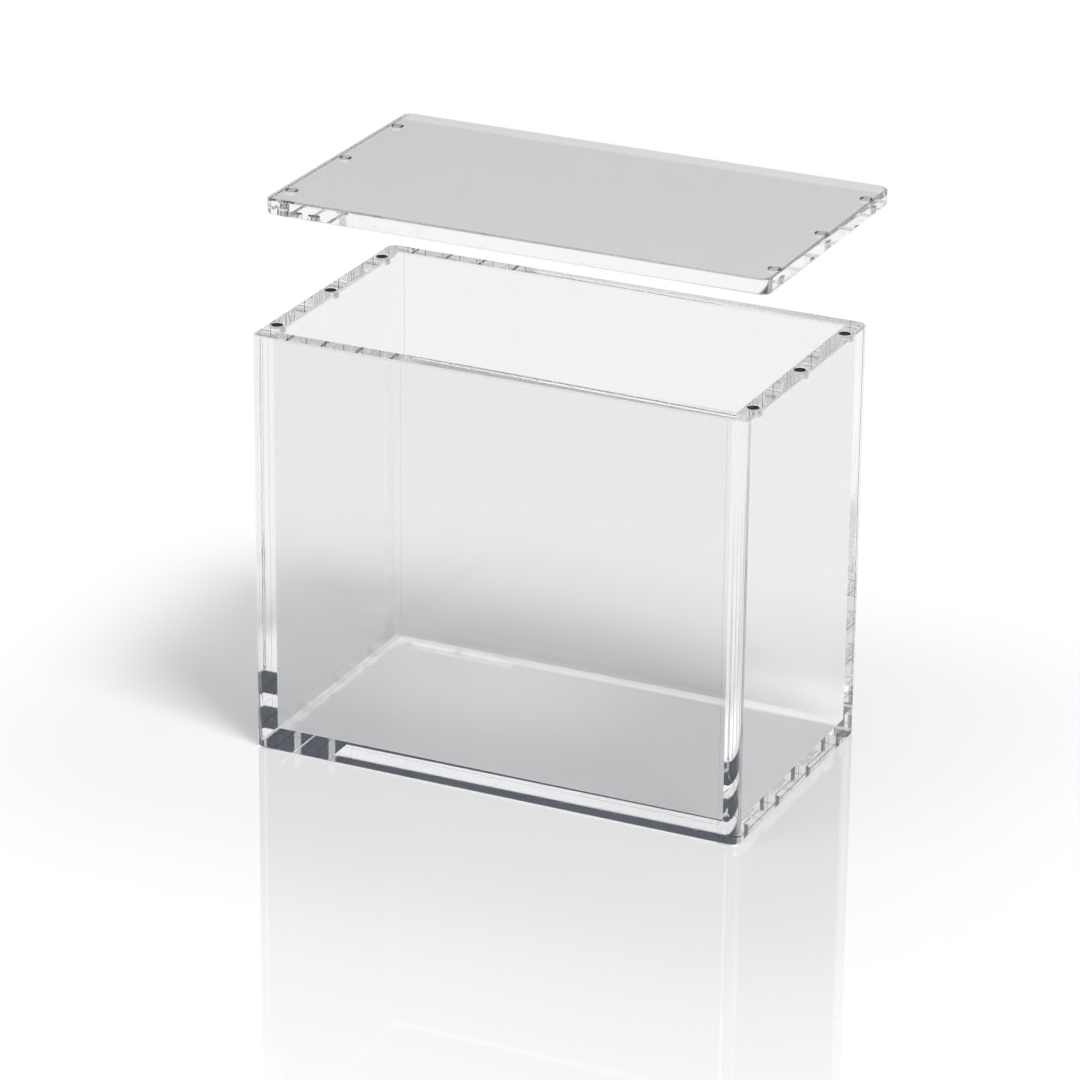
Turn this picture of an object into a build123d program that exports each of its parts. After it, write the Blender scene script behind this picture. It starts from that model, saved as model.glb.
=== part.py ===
from build123d import *
import os

# Display case of clear acrylic sheet for one sealed booster box of trading cards.
# Two full-height side panels stand on the table with the base between them.
# The front and back panels stand on the base, and all five are solvent-glued.
# A loose flat lid is held by magnets in the side panels' top edges and under its ends.
# Millimetres, +Z up, front towards -Y. The origin is on the table, under the middle.

# Space inside for the box
inside_width = 146.0
inside_depth = 79.0
inside_height = 126.0

# Acrylic sheet
wall_thickness = 6.0
base_thickness = 6.0
lid_thickness = 5.0

# Finish of the outside edges: rounded uprights, and a fine polished break on the rest
corner_radius = 3.0
edge_break = 0.5

# Round magnets, glued in blind pockets
magnet_diameter = 4.0
magnet_length = 2.0
magnet_edge_break = 0.25
magnet_end_distance = 11.5
glue_gap = 0.05
magnet_recess = 0.1

# Where the lid is held, lifted off: its underside's height over the rim, and its shift to the right
lid_lift = 38.0
lid_shift = 5.3

# Places worked out from those sizes
outer_width = inside_width + 2 * wall_thickness
outer_depth = inside_depth + 2 * wall_thickness
body_height = base_thickness + inside_height
pocket_depth = magnet_length + magnet_recess
magnet_x = outer_width / 2 - wall_thickness / 2
magnet_end_y = outer_depth / 2 - magnet_end_distance

magnet_sides = {"left": -magnet_x, "right": magnet_x}
magnet_rows = {"front": -magnet_end_y, "middle": 0.0, "back": magnet_end_y}


def edges_along_plan(block):
    """The upper and lower outlines of an upright block, without its vertical corners."""
    return block.edges().filter_by(Axis.Z, reverse=True)


def polished_block(height):
    """The outline that all sheets share, with round uprights and broken edges."""
    block = extrude(RectangleRounded(outer_width, outer_depth, corner_radius), height)
    return chamfer(edges_along_plan(block), edge_break)


def rim_break():
    """The fine edge break round the inside of the rim, mitred in its corners."""
    mouth = extrude(Rectangle(inside_width, inside_depth), edge_break, taper=-45)
    return Pos(0, 0, body_height - edge_break) * mouth


def region(x_range, y_range, z_range):
    """A plain box between the given limits."""
    sizes = [high - low for low, high in (x_range, y_range, z_range)]
    centre = [(low + high) / 2 for low, high in (x_range, y_range, z_range)]
    return Pos(*centre) * Box(*sizes)


def magnet_places(side):
    """Plan positions of one side's magnets, by row."""
    return {row: (magnet_sides[side], y) for row, y in magnet_rows.items()}


def pockets(side, open_end, towards):
    """Blind round pockets of one side that open at a height, towards +1 up or -1 down."""
    middle = open_end - towards * pocket_depth / 2
    radius = magnet_diameter / 2 + glue_gap
    return [Pos(x, y, middle) * Cylinder(radius, pocket_depth) for x, y in magnet_places(side).values()]


def magnet(x, y, open_end, towards):
    """One magnet on the floor of its pocket, a little below the sheet's surface."""
    middle = open_end - towards * (magnet_recess + magnet_length / 2)
    slug = Cylinder(magnet_diameter / 2, magnet_length)
    slug = chamfer(slug.edges().filter_by(GeomType.CIRCLE), magnet_edge_break)
    return Pos(x, y, middle) * slug


# Limits of the glued joints
half_width = outer_width / 2
half_depth = outer_depth / 2
inner_x = inside_width / 2
inner_y = inside_depth / 2

body_block = polished_block(body_height) - rim_break()
parts = {}

parts["base_panel"] = body_block & region(
    (-inner_x, inner_x), (-half_depth, half_depth), (0, base_thickness)
)
parts["front_panel"] = body_block & region(
    (-inner_x, inner_x), (-half_depth, -inner_y), (base_thickness, body_height)
)
parts["back_panel"] = body_block & region(
    (-inner_x, inner_x), (inner_y, half_depth), (base_thickness, body_height)
)

side_limits = {"left": (-half_width, -inner_x), "right": (inner_x, half_width)}
for side, x_range in side_limits.items():
    blank = body_block & region(x_range, (-half_depth, half_depth), (0, body_height))
    parts[f"{side}_panel"] = blank - pockets(side, body_height, 1)

# The lid is made closed, on the rim, and then lifted to where it is held
held = Pos(lid_shift, 0, lid_lift)
lid_blank = Pos(0, 0, body_height) * polished_block(lid_thickness)
lid_pockets = pockets("left", body_height, -1) + pockets("right", body_height, -1)
parts["lid_panel"] = held * (lid_blank - lid_pockets)

for side in magnet_sides:
    for row, (x, y) in magnet_places(side).items():
        parts[f"rim_magnet_{side}_{row}"] = magnet(x, y, body_height, 1)
        parts[f"lid_magnet_{side}_{row}"] = held * magnet(x, y, body_height, -1)

os.makedirs("parts", exist_ok=True)
for name, part in parts.items():
    export_step(part, f"parts/{name}.step")
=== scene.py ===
from math import cos, radians, sin

import bpy
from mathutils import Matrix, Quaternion, Vector


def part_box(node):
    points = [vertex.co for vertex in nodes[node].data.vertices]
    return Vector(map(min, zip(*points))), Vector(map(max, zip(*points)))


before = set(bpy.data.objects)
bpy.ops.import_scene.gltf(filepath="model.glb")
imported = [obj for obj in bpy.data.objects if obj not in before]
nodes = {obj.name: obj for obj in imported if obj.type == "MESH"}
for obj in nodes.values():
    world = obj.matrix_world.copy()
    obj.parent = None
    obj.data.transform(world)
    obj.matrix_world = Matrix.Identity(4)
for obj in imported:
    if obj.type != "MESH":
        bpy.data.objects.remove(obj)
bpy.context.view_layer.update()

# The case and its lid are clear acrylic sheet, and the magnets are nickel plated.
# All lengths are in metres, in the frame's own axes: +X right, -Y front, +Z up.
magnet_names = [name for name in nodes if "_magnet_" in name]


def middle_x(node):
    """The x of the middle of a node's box."""
    low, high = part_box(node)
    return (low.x + high.x) / 2


# Places of the glued joints and the magnets, from the nodes themselves
side_joint_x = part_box("right_panel")[0].x
front_joint_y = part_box("back_panel")[0].y
base_top_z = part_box("base_panel")[1].z
rim_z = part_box("right_panel")[1].z
half_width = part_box("right_panel")[1].x
half_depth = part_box("right_panel")[1].y
magnet_x = middle_x("rim_magnet_right_middle")
lid_centre_x = middle_x("lid_panel")

# Camera, fitted to the outlines of the case in the photograph
view_azimuth = radians(25.14)
view_elevation = radians(22.37)
view_roll = radians(0.52)
view_distance = 1.552
view_target = Vector((-0.0061, 0.0, 0.0639))
lens_mm = 173.2
sensor_mm = 36.0

# Sheet. The lid's higher index keeps a dark line of guided light off its front edge.
acrylic_index = 1.54
lid_index = 1.60
wall_tint = (0.89, 0.892, 0.895)
base_tint = (0.95, 0.952, 0.955)
lid_tint = (0.93, 0.918, 0.92)
wall_shadow = (0.62, 0.62, 0.63)
base_shadow = (0.98, 0.98, 0.98)
lid_shadow = (0.85, 0.85, 0.86)

# Finish of the sheet's edges, joints and faces
seam_width = 0.00016
seam_roughness = 0.3
scraped_roughness = 0.35
case_breaks = {"Upright_Roll": 0.75, "End_Roll": 0.9}
lid_breaks = {"Front_Level": 0.4, "Top_Roll": 0.75, "Under_Roll": 0.75, "End_Roll": 0.9}
edge_ripple = 0.000005
mark_turn = (0.4, 0.7, 0.3)
mark_stretch = (1.0, 0.08, 1.0)
mark_roughness = 0.08
mark_depth = 0.000002

# Magnets: mottled plate, and a grainy film of cement with a wandering border
nickel_colour = (0.66, 0.65, 0.62)
mottle_scale = 900.0
mottle_range = (0.3, 0.7)
plate_roughness = (0.05, 0.16)
flat_end_range = (0.9, 0.98)
film_half_width = 0.0012
film_border_scale = 700.0
film_border_wander = 0.0008
film_border_blend = 0.0001
film_grain_scale = 1600.0
film_grain_range = (0.25, 0.75)
film_tones = (0.74, 0.92)
film_roughness = 0.5

# Studio: a white table that sweeps up behind, a dark room above it and soft light in front.
# Heights are the upward share of a direction, from 0 at the horizon to 1 overhead.
sweep_top = 0.14
room_start = 0.30
room_colour = (0.032, 0.042, 0.062)
white = (1.0, 1.0, 1.0)
front_level = 0.75
front_low_level = 0.9
front_to_back = (-0.15, 0.10)
flag_start = 0.90
flag_full = 0.96
flag_top_range = (0.5, 0.7)
flag_shade = 0.5
overhead_start = 0.80
overhead_blend = 0.06
overhead_level = 1.0
ambient_level = 0.25
white_sky_power = 3.1416

# Table
table_drop = 0.0001
table_half_size = 6.0
table_colour = (0.8, 0.8, 0.8)
table_gloss_roughness = 0.03
shadow_reach = 0.035
white_from = 0.12
mirror_reach = 0.25
mirror_share = 0.20
# Painted light: emission painted on the table under the case's footprint, stronger under the walls,
# standing in for light that the sheets gather and send down
painted_footprint_light = 0.38
painted_wall_footprint_light = 0.65
# Painted light: a strip of emission painted on the table behind the foot, seen only by light guided in
# the sheets
painted_foot_light_level = 0.45
painted_foot_light_reach = 0.020
light_border_blend = 0.001

# Light is guided along the sheets by many reflections, so paths through them are very long
guided_bounces = 128
transparent_bounces = 64


class Graph:
    """Adds nodes to one node tree and links them, with short calls."""

    def __init__(self, tree):
        self.tree = tree

    def put(self, kind, **values):
        """A new node, with sockets given by name with underscores and properties by their own names."""
        node = self.tree.nodes.new(kind)
        for name, value in values.items():
            socket = node.inputs.get(name.replace("_", " "))
            if socket is None:
                setattr(node, name, value)
            else:
                self.feed(value, socket)
        return node

    def feed(self, value, socket):
        """Links an output to a socket, or sets the socket's own value."""
        if isinstance(value, bpy.types.NodeSocket):
            self.tree.links.new(value, socket)
        else:
            socket.default_value = value

    def math(self, operation, *values):
        """The result of a Math node."""
        node = self.tree.nodes.new("ShaderNodeMath")
        node.operation = operation
        for value, socket in zip(values, node.inputs):
            self.feed(value, socket)
        return node.outputs[0]

    def product(self, first, *others):
        """All the values multiplied."""
        for other in others:
            first = self.math("MULTIPLY", first, other)
        return first

    def rest_of(self, share):
        """1 minus a share."""
        return self.math("SUBTRACT", 1.0, share)

    def split(self, vector):
        """The x, y and z of a vector."""
        return self.put("ShaderNodeSeparateXYZ", Vector=vector).outputs

    def noise(self, place, scale, detail):
        """Soft noise from 0 to 1 at a place."""
        return self.put("ShaderNodeTexNoise", Vector=place, Scale=scale, Detail=detail).outputs["Fac"]

    def ramp(self, value, low, high, start=0.0, end=1.0):
        """Smooth step of a value, from start at low to end at high."""
        node = self.tree.nodes.new("ShaderNodeMapRange")
        node.interpolation_type = "SMOOTHSTEP"
        for socket, given in zip(node.inputs, (value, low, high, start, end)):
            self.feed(given, socket)
        return node.outputs[0]

    def blend(self, factor, first, second):
        """Blend of two colours."""
        node = self.put("ShaderNodeMix", data_type="RGBA")
        given = {"Factor_Float": factor, "A_Color": first, "B_Color": second}
        for socket in node.inputs:
            if socket.identifier in given:
                self.feed(given[socket.identifier], socket)
        return next(socket for socket in node.outputs if socket.identifier == "Result_Color")

    def mix(self, factor, first, second):
        """Blend of two shaders."""
        node = self.tree.nodes.new("ShaderNodeMixShader")
        for socket, given in zip(node.inputs, (factor, first, second)):
            self.feed(given, socket)
        return node.outputs[0]


def opaque(colour):
    """A colour with full alpha, as a node's colour socket takes it."""
    return (*colour, 1.0)


def mirrored_rays(g, rays):
    """1 for rays that gloss or glass sends on, from the outputs of a Light Path node."""
    return g.math("MAXIMUM", rays["Is Glossy Ray"], rays["Is Transmission Ray"])


def new_group(name, inputs, outputs, normals=()):
    """An empty shader node group with float inputs and outputs, and the graph to fill it."""
    tree = bpy.data.node_groups.new(name, "ShaderNodeTree")
    for label, default in inputs.items():
        socket = tree.interface.new_socket(label, in_out="INPUT", socket_type="NodeSocketFloat")
        socket.default_value = default
    for label in outputs:
        tree.interface.new_socket(label, in_out="OUTPUT", socket_type="NodeSocketFloat")
    for label in normals:
        tree.interface.new_socket(label, in_out="OUTPUT", socket_type="NodeSocketVector")
    graph = Graph(tree)
    given = tree.nodes.new("NodeGroupInput").outputs
    result = tree.nodes.new("NodeGroupOutput").inputs
    return tree, graph, given, result


def new_material(name):
    """An empty node material, its graph and its output socket."""
    material = bpy.data.materials.new(name)
    material.use_nodes = True
    material.node_tree.nodes.clear()
    graph = Graph(material.node_tree)
    surface = graph.put("ShaderNodeOutputMaterial").inputs["Surface"]
    return material, graph, surface


def glued_joint_group():
    """Masks of the faces that solvent has welded, where light goes straight from sheet to sheet.

    The side joints are the planes |x| = side_x where |y| > front_y or z < base_z, and the base
    joints are the plane z = base_z where |y| > front_y, between the side joints. The seam is
    the narrow border of a joint, at the case's front, back and underside, that the solvent
    left open.
    """
    tree, g, given, result = new_group(
        "glued_joint",
        {
            "Side X": side_joint_x,
            "Front Y": front_joint_y,
            "Outer Y": half_depth,
            "Base Z": base_top_z,
            "Seam Width": seam_width,
            "Tolerance": 0.00002,
        },
        ["Welded", "Seam"],
    )
    x, y, z = g.split(g.put("ShaderNodeTexCoord").outputs["Object"])
    across = g.math("ABSOLUTE", x)
    along = g.math("ABSOLUTE", y)
    on_side = g.math("COMPARE", across, given["Side X"], given["Tolerance"])
    on_base = g.math("COMPARE", z, given["Base Z"], given["Tolerance"])
    beyond_front = g.math("GREATER_THAN", along, given["Front Y"])
    in_base = g.math("LESS_THAN", z, given["Base Z"])
    between_sides = g.math("LESS_THAN", across, given["Side X"])
    side_weld = g.product(on_side, g.math("MAXIMUM", beyond_front, in_base))
    base_weld = g.product(on_base, beyond_front, between_sides)
    joint = g.math("MAXIMUM", side_weld, base_weld)
    from_outside = g.math("MINIMUM", g.math("SUBTRACT", given["Outer Y"], along), z)
    open_edge = g.math("LESS_THAN", from_outside, given["Seam Width"])
    g.feed(g.product(joint, g.rest_of(open_edge)), result["Welded"])
    g.feed(g.product(joint, open_edge), result["Seam"])
    return tree


def scraped_edge_group():
    """How matt the broken edges are, whose faces lean between upright and level:
    steepest < |normal z| < flattest. Breaks that face front or back have their own level.

    The scraper rolls a break over towards the face beside it. The normal's z shrinks by the
    upright roll, and on the long edges by the under roll if it faces down. Its x and y shrink
    by the top roll on the long edges if it faces up, and by the end roll on the ends' lower
    edges, which have no other roll. Then its length is brought back to 1.
    """
    tree, g, given, result = new_group(
        "scraped_edge",
        {
            "Steepest": 0.2,
            "Flattest": 0.95,
            "Front Level": 1.0,
            "Upright Roll": 0.0,
            "Under Roll": 0.0,
            "Top Roll": 0.0,
            "End Roll": 0.0,
        },
        ["Scraped"],
        ["Normal"],
    )
    x, y, z = g.split(g.put("ShaderNodeTexCoord").outputs["Normal"])
    lean = g.math("ABSOLUTE", z)
    not_upright = g.math("GREATER_THAN", lean, given["Steepest"])
    not_level = g.math("LESS_THAN", lean, given["Flattest"])
    leans = g.product(not_upright, not_level)
    faces_front = g.math("GREATER_THAN", g.math("ABSOLUTE", y), g.math("ABSOLUTE", x))
    level = g.math("ADD", g.product(faces_front, given["Front Level"]), g.rest_of(faces_front))
    g.feed(g.product(leans, level), result["Scraped"])

    facing_up = g.math("GREATER_THAN", z, 0.0)
    facing_down = g.rest_of(facing_up)
    long_edge = g.product(leans, faces_front)
    low_end = g.product(g.math("SUBTRACT", leans, long_edge), facing_down)
    others = g.math("SUBTRACT", leans, low_end)
    top_roll = g.product(long_edge, facing_up, given["Top Roll"])
    under_roll = g.product(long_edge, facing_down, given["Under Roll"])
    end_roll = g.product(low_end, given["End Roll"])
    upright_roll = g.math("ADD", g.product(others, given["Upright Roll"]), under_roll)
    keep_z = g.rest_of(upright_roll)
    keep_level = g.rest_of(g.math("ADD", top_roll, end_roll))
    rolled = g.put(
        "ShaderNodeCombineXYZ",
        X=g.product(x, keep_level),
        Y=g.product(y, keep_level),
        Z=g.product(z, keep_z),
    )
    unit = g.put("ShaderNodeVectorMath", operation="NORMALIZE")
    g.feed(rolled.outputs[0], unit.inputs[0])
    g.feed(unit.outputs[0], result["Normal"])
    return tree


def handling_marks_group():
    """Mask of the hairline marks that wiping and handling leave on the sheets.

    A mark is where a stretched noise crosses its middle value, within the line width, and it
    shows only where a second, broader noise is high, so that it comes in short curved pieces.
    """
    tree, g, given, result = new_group(
        "handling_marks",
        {
            "Scale": 55.0,
            "Line Width": 0.004,
            "Patch Scale": 38.0,
            "Patch Start": 0.56,
            "Patch Blend": 0.06,
        },
        ["Marks"],
    )
    place = g.put("ShaderNodeTexCoord").outputs["Object"]
    stretched = g.put("ShaderNodeMapping", Vector=place, Rotation=mark_turn, Scale=mark_stretch)
    line_noise = g.noise(stretched.outputs[0], given["Scale"], detail=0.0)
    patch_noise = g.noise(place, given["Patch Scale"], detail=1.0)
    off_middle = g.math("ABSOLUTE", g.math("SUBTRACT", line_noise, 0.5))
    line = g.ramp(off_middle, 0.0, given["Line Width"], 1.0, 0.0)
    patch_full = g.math("ADD", given["Patch Start"], given["Patch Blend"])
    patch = g.ramp(patch_noise, given["Patch Start"], patch_full)
    g.feed(g.product(line, patch), result["Marks"])
    return tree


def polished_edge_group():
    """Height of the ripples that polishing leaves on a sheet's edge faces, in metres.

    Across X, Y and Z give the direction of the sheet's thickness. Edge faces are those whose
    normal is square to it, with |normal . across| below the edge limit, and the ripples are
    gone at the face limit. Broad ripples are joined by finer ones, and the broad faces stay flat.
    """
    tree, g, given, result = new_group(
        "polished_edge",
        {
            "Across X": 0.0,
            "Across Y": 0.0,
            "Across Z": 1.0,
            "Edge Limit": 0.05,
            "Face Limit": 0.3,
            "Broad Scale": 150.0,
            "Fine Scale": 900.0,
            "Fine Share": 0.05,
            "Depth": edge_ripple,
        },
        ["Height"],
    )
    coordinates = g.put("ShaderNodeTexCoord").outputs
    across = g.put("ShaderNodeCombineXYZ", X=given["Across X"], Y=given["Across Y"], Z=given["Across Z"])
    facing = g.put("ShaderNodeVectorMath", operation="DOT_PRODUCT")
    g.feed(coordinates["Normal"], facing.inputs[0])
    g.feed(across.outputs[0], facing.inputs[1])
    towards_face = g.math("ABSOLUTE", facing.outputs["Value"])
    on_edge = g.ramp(towards_face, given["Edge Limit"], given["Face Limit"], 1.0, 0.0)
    broad = g.noise(coordinates["Object"], given["Broad Scale"], detail=1.0)
    fine = g.noise(coordinates["Object"], given["Fine Scale"], detail=1.0)
    ripple = g.math("ADD", broad, g.product(fine, given["Fine Share"]))
    g.feed(g.product(ripple, on_edge, given["Depth"]), result["Height"])
    return tree


def clear_acrylic(name, tint, shadow, across, breaks, index=acrylic_index, welded=True):
    """Clear cast acrylic sheet with rippled polished edges, satin scraped corners and faint
    handling marks. Across is the direction of its thickness, and the breaks are values for the
    scraped edge group. The welded faces let light straight through."""
    material, g, surface = new_material(name)
    scraped = g.put("ShaderNodeGroup", node_tree=scraped_edge, **breaks).outputs
    marks = g.put("ShaderNodeGroup", node_tree=handling_marks).outputs["Marks"]
    ripple = g.put(
        "ShaderNodeGroup",
        node_tree=polished_edge,
        Across_X=across[0],
        Across_Y=across[1],
        Across_Z=across[2],
    ).outputs["Height"]
    height = g.math("SUBTRACT", ripple, g.product(marks, mark_depth))
    bump = g.put("ShaderNodeBump", Height=height, Distance=1.0, Normal=scraped["Normal"])
    sheet = g.put(
        "ShaderNodeBsdfPrincipled",
        Base_Color=opaque(tint),
        IOR=index,
        Transmission_Weight=1.0,
        Normal=bump.outputs[0],
    )
    satin = g.product(scraped["Scraped"], scraped_roughness)
    satin = g.math("MAXIMUM", satin, g.product(marks, mark_roughness))
    if welded:
        joint = g.put("ShaderNodeGroup", node_tree=glued_joint).outputs
        g.feed(g.rest_of(joint["Welded"]), sheet.inputs["Alpha"])
        satin = g.math("MAXIMUM", satin, g.product(joint["Seam"], seam_roughness))
    g.feed(satin, sheet.inputs["Roughness"])
    pale_shadow = g.put("ShaderNodeBsdfTransparent", Color=opaque(shadow))
    is_shadow = g.put("ShaderNodeLightPath").outputs["Is Shadow Ray"]
    g.feed(g.mix(is_shadow, sheet.outputs[0], pale_shadow.outputs[0]), surface)
    return material


def cemented_end_group():
    """Mask of the cement film on a magnet's end in its pocket. Facing is 1 up or -1 down.

    The film covers the middle of the end and leaves bare crescents left and right, where the
    distance ||x - centre| - magnet_x| from the magnet's own middle passes the half width.
    """
    tree, g, given, result = new_group(
        "cemented_end",
        {"Facing": 1.0, "Centre X": 0.0, "Magnet X": magnet_x, "Film Half Width": film_half_width},
        ["Cement"],
    )
    coordinates = g.put("ShaderNodeTexCoord").outputs
    normal = g.split(coordinates["Normal"])
    place = g.split(coordinates["Object"])
    end = g.ramp(g.product(normal["Z"], given["Facing"]), *flat_end_range)
    from_centre = g.math("ABSOLUTE", g.math("SUBTRACT", place["X"], given["Centre X"]))
    across = g.math("ABSOLUTE", g.math("SUBTRACT", from_centre, given["Magnet X"]))
    wander = g.math("SUBTRACT", g.noise(coordinates["Object"], film_border_scale, detail=2.0), 0.5)
    limit = g.math("ADD", given["Film Half Width"], g.product(wander, film_border_wander))
    beyond = g.math("SUBTRACT", across, limit)
    film = g.ramp(beyond, -film_border_blend, film_border_blend, 1.0, 0.0)
    g.feed(g.product(end, film), result["Cement"])
    return tree


def nickel_plating(name, facing, centre_x):
    """Bright nickel plate of the magnets, and the white cement film on the end in the pocket."""
    material, g, surface = new_material(name)
    place = g.put("ShaderNodeTexCoord").outputs["Object"]
    cement = g.put(
        "ShaderNodeGroup",
        node_tree=cemented_end,
        Facing=facing,
        Centre_X=centre_x,
    ).outputs["Cement"]
    mottle = g.noise(place, mottle_scale, detail=3.0)
    grain = g.noise(place, film_grain_scale, detail=2.0)
    film_tone = g.ramp(grain, *film_grain_range, *film_tones)
    polish = g.ramp(mottle, *mottle_range, *plate_roughness)
    plate = g.put(
        "ShaderNodeBsdfPrincipled",
        Base_Color=g.blend(cement, opaque(nickel_colour), film_tone),
        Metallic=g.rest_of(cement),
        Roughness=g.math("ADD", polish, g.product(cement, film_roughness)),
    )
    g.feed(plate.outputs[0], surface)
    return material


def studio_world():
    """White to the camera. Glass and metal see the studio by direction: a white sweep low down
    behind, a dark room above it, pale light in front, a grey flag at each side and a soft box
    overhead."""
    world = bpy.data.worlds.new("studio")
    bpy.context.scene.world = world
    world.use_nodes = True
    world.node_tree.nodes.clear()
    g = Graph(world.node_tree)
    x, y, z = g.split(g.put("ShaderNodeTexCoord").outputs["Generated"])
    behind = g.ramp(y, *front_to_back)
    front = g.product(
        g.ramp(z, sweep_top, room_start, front_low_level, front_level),
        g.rest_of(behind),
    )
    sweep = g.product(behind, g.ramp(z, sweep_top, room_start, 1.0, 0.0))
    overhead = g.ramp(z, overhead_start, overhead_start + overhead_blend, 0.0, overhead_level)
    lit = g.math("MAXIMUM", g.math("MAXIMUM", front, overhead), sweep)
    flags = g.product(
        g.ramp(g.math("ABSOLUTE", x), flag_start, flag_full),
        g.ramp(z, *flag_top_range, 1.0, 0.0),
    )
    lit = g.product(lit, g.rest_of(g.product(flags, flag_shade)))

    rays = g.put("ShaderNodeLightPath").outputs
    studio = g.blend(lit, opaque(room_colour), opaque(white))
    ambient = opaque([ambient_level] * 3)
    surround = g.blend(mirrored_rays(g, rays), ambient, studio)
    seen = g.blend(rays["Is Camera Ray"], surround, opaque(white))
    background = g.put("ShaderNodeBackground", Color=seen, Strength=1.0)
    output = g.put("ShaderNodeOutputWorld")
    g.feed(background.outputs[0], output.inputs["Surface"])


def table_material():
    """Glossy white table. Near the case its matt share takes the shadow, and further off it is
    plain white. Its gloss shows the mirror image, which fades away from the case. Painted light:
    an emission painted on the table under the case's footprint, stronger under the walls, stands
    in for light that the sheets gather and send down, and a painted strip of light behind the
    foot, which only light guided in the sheets sees, makes that strip look lit."""
    material, g, surface = new_material("white_table")
    x, y, _ = g.split(g.put("ShaderNodeTexCoord").outputs["Object"])
    across = g.math("ABSOLUTE", x)
    along = g.math("ABSOLUTE", y)
    beside = g.math("MAXIMUM", g.math("SUBTRACT", across, half_width), 0.0)
    before = g.math("MAXIMUM", g.math("SUBTRACT", along, half_depth), 0.0)
    away = g.math("SQRT", g.math("ADD", g.math("POWER", beside, 2.0), g.math("POWER", before, 2.0)))

    rays = g.put("ShaderNodeLightPath").outputs
    mirrored = mirrored_rays(g, rays)
    visible = g.math("MAXIMUM", rays["Is Camera Ray"], mirrored)
    guided = g.product(mirrored, g.math("MINIMUM", rays["Glossy Depth"], 1.0))

    # Painted light on the table under the case's footprint, stronger under the walls
    inside_x = g.math("SUBTRACT", half_width, across)
    inside_y = g.math("SUBTRACT", half_depth, along)
    inside = g.math("MINIMUM", inside_x, inside_y)
    wall = half_width - side_joint_x
    level = g.ramp(inside, wall, wall + light_border_blend, painted_wall_footprint_light, painted_footprint_light)
    footprint = g.product(g.ramp(inside, 0.0, light_border_blend), level, visible)
    # A painted strip of light on the table behind the foot, which only guided rays see
    behind = g.math("SUBTRACT", y, half_depth)
    strip = g.product(
        g.ramp(behind, 0.0, light_border_blend),
        g.ramp(behind, painted_foot_light_reach, 2.0 * painted_foot_light_reach, 1.0, 0.0),
        guided,
        painted_foot_light_level,
    )
    painted_glow = g.put("ShaderNodeEmission", Strength=g.math("ADD", footprint, strip))

    matt = g.put("ShaderNodeBsdfDiffuse", Color=opaque(table_colour))
    lit = g.put("ShaderNodeAddShader")
    g.feed(matt.outputs[0], lit.inputs[0])
    g.feed(painted_glow.outputs[0], lit.inputs[1])
    plain = g.put("ShaderNodeEmission", Strength=visible)
    top = g.mix(g.ramp(away, shadow_reach, white_from), lit.outputs[0], plain.outputs[0])
    mirror = g.put("ShaderNodeBsdfGlossy", Color=opaque(white), Roughness=table_gloss_roughness)
    shine = g.ramp(away, 0.0, mirror_reach, mirror_share, 0.0)
    g.feed(g.mix(shine, top, mirror.outputs[0]), surface)
    return material


def table():
    """The table under the case, a hair below its base, as a flat square."""
    s = table_half_size
    corners = [(-s, -s), (s, -s), (s, s), (-s, s)]
    mesh = bpy.data.meshes.new("table")
    mesh.from_pydata([(x, y, -table_drop) for x, y in corners], [], [(0, 1, 2, 3)])
    mesh.materials.append(table_material())
    top = bpy.data.objects.new("table", mesh)
    bpy.context.scene.collection.objects.link(top)
    return top


def towards(azimuth, elevation):
    """The direction from the case to what stands at an azimuth, from the front towards the
    right, and an elevation: (sin a cos e, -cos a cos e, sin e)."""
    return Vector((
        sin(azimuth) * cos(elevation),
        -cos(azimuth) * cos(elevation),
        sin(elevation),
    ))


def soft_box(name, azimuth, elevation, distance, size, power):
    """An area lamp that faces the middle of the case from the given direction, in degrees."""
    lamp = bpy.data.lights.new(name, "AREA")
    lamp.shape = "SQUARE"
    lamp.size = size
    lamp.energy = power
    spot = bpy.data.objects.new(name, lamp)
    back = towards(radians(azimuth), radians(elevation))
    spot.location = Vector((0.0, 0.0, rim_z / 2)) + back * distance
    spot.rotation_mode = "QUATERNION"
    spot.rotation_quaternion = back.to_track_quat("Z", "Y")
    spot.visible_glossy = False
    spot.visible_transmission = False
    bpy.context.scene.collection.objects.link(spot)


def white_surround(receiver):
    """A white sky that only the table's gloss sees, as the photograph's table mirrors white."""
    sky = bpy.data.lights.new("white_surround", "SUN")
    sky.angle = radians(180.0)
    sky.energy = white_sky_power
    dome = bpy.data.objects.new("white_surround", sky)
    dome.visible_diffuse = False
    dome.visible_transmission = False
    bpy.context.scene.collection.objects.link(dome)
    mirrors = bpy.data.collections.new("table_only")
    mirrors.objects.link(receiver)
    dome.light_linking.receiver_collection = mirrors


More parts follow.
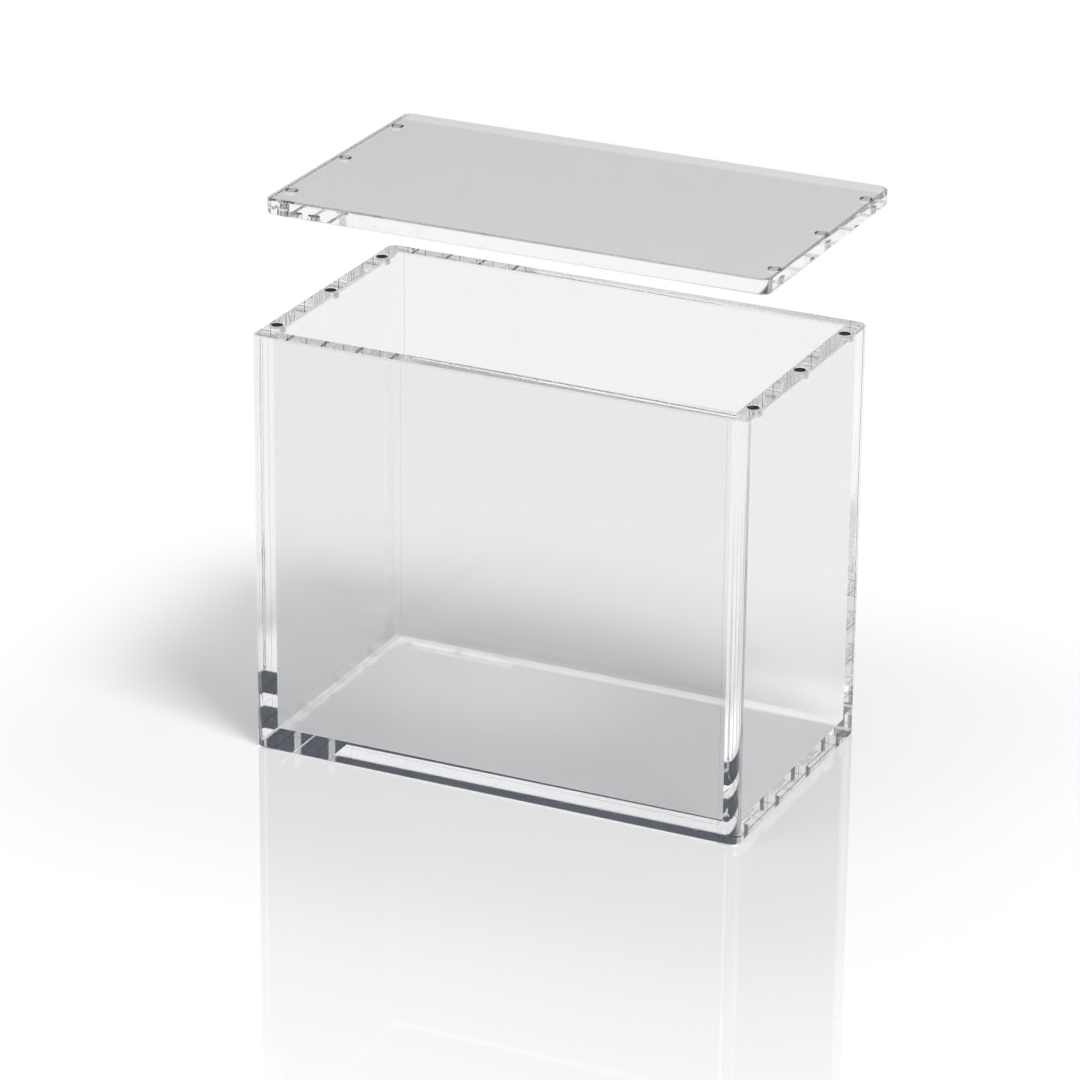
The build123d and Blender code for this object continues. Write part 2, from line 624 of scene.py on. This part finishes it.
def camera():
    """The photograph's camera."""
    data = bpy.data.cameras.new("camera")
    data.lens = lens_mm
    data.sensor_width = sensor_mm
    data.clip_start = 0.05
    data.clip_end = 30.0
    viewer = bpy.data.objects.new("camera", data)
    back = towards(view_azimuth, view_elevation)
    viewer.location = view_target + back * view_distance
    viewer.rotation_mode = "QUATERNION"
    viewer.rotation_quaternion = (-back).to_track_quat("-Z", "Y") @ Quaternion((0.0, 0.0, 1.0), view_roll)
    bpy.context.scene.collection.objects.link(viewer)
    bpy.context.scene.camera = viewer


camera()
studio_world()
table_top = table()
white_surround(table_top)
soft_box("key_light", azimuth=62.0, elevation=58.0, distance=3.0, size=0.9, power=79.0)
soft_box("fill_light", azimuth=-20.0, elevation=70.0, distance=3.0, size=2.2, power=22.0)

# Effects that several materials share
glued_joint = glued_joint_group()
scraped_edge = scraped_edge_group()
handling_marks = handling_marks_group()
polished_edge = polished_edge_group()
cemented_end = cemented_end_group()

# Across is the direction of a sheet's thickness
front_acrylic = clear_acrylic(
    "front_acrylic", wall_tint, wall_shadow, across=(0.0, 1.0, 0.0), breaks=case_breaks
)
side_acrylic = clear_acrylic(
    "side_acrylic", wall_tint, wall_shadow, across=(1.0, 0.0, 0.0), breaks=case_breaks
)
base_acrylic = clear_acrylic(
    "base_acrylic", base_tint, base_shadow, across=(0.0, 0.0, 1.0), breaks=case_breaks
)
lid_acrylic = clear_acrylic(
    "lid_acrylic",
    lid_tint,
    lid_shadow,
    across=(0.0, 0.0, 1.0),
    breaks=lid_breaks,
    index=lid_index,
    welded=False,
)
rim_plating = nickel_plating("rim_magnet_plating", facing=-1.0, centre_x=0.0)
lid_plating = nickel_plating("lid_magnet_plating", facing=1.0, centre_x=lid_centre_x)

sheets = {
    "base_panel": base_acrylic,
    "front_panel": front_acrylic,
    "back_panel": front_acrylic,
    "left_panel": side_acrylic,
    "right_panel": side_acrylic,
    "lid_panel": lid_acrylic,
}
for name, acrylic in sheets.items():
    nodes[name].data.materials[0] = acrylic
for name in magnet_names:
    nodes[name].data.materials[0] = lid_plating if name.startswith("lid") else rim_plating

cycles = bpy.context.scene.cycles
cycles.max_bounces = guided_bounces
cycles.transmission_bounces = guided_bounces
cycles.glossy_bounces = guided_bounces
cycles.transparent_max_bounces = transparent_bounces
bpy.context.scene.view_settings.view_transform = "Standard"

bpy.context.view_layer.update()
